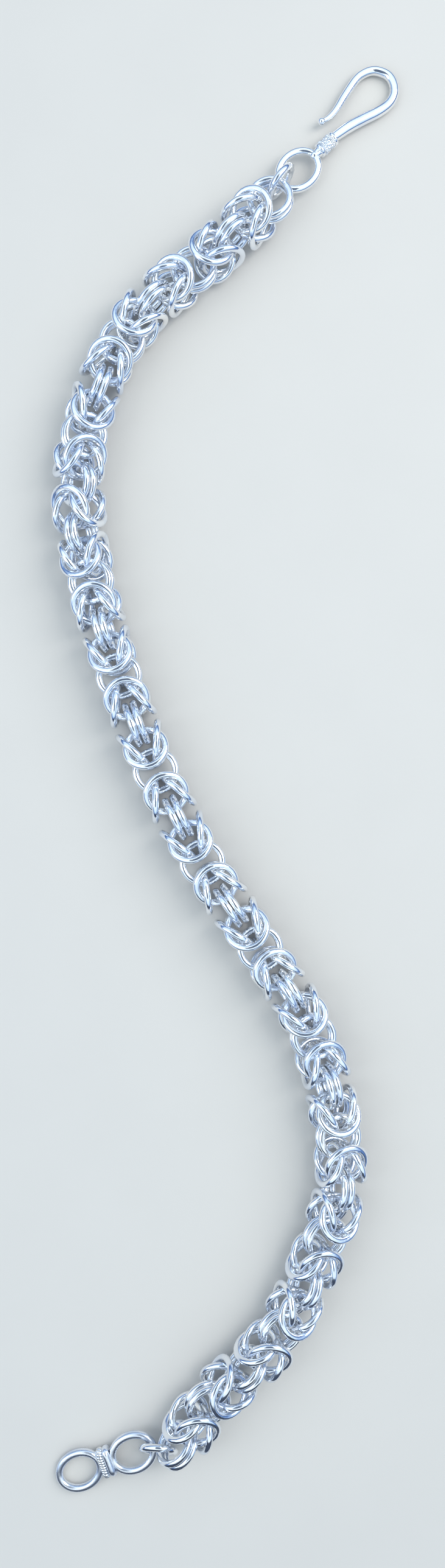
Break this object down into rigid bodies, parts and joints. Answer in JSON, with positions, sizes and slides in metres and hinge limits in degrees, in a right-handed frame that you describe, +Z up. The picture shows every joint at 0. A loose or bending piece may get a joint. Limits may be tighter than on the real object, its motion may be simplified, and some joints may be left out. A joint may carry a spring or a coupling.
{
  "type": "byzantine chain bracelet with hook and eye",
  "caption": "Byzantine chain of round silver wire rings, lying open in a long S, with a beaded S-bent hook at one end and a soldered eye of joined ovals at the other.",
  "frame": {"origin": "centre of the part's box in plan, on the surface that it lies on", "axes": "+Y from the eye's end to the hook's end, +X to the right seen from above, +Z up from the surface"},
  "size_m": [0.047, 0.1943, 0.0075],
  "materials": {
    "chain_silver": "polished",
    "hook_silver": "polished, darkened between the beads",
    "eye_silver": "polished, darkened between the bands"
  },
  "bodies": {
    "root": {"hook": "hook_silver", "hook_jump_ring": "hook_silver", "chain": "chain_silver", "eye_jump_ring": "chain_silver", "eye": "eye_silver"}
  },
  "joints": []
}
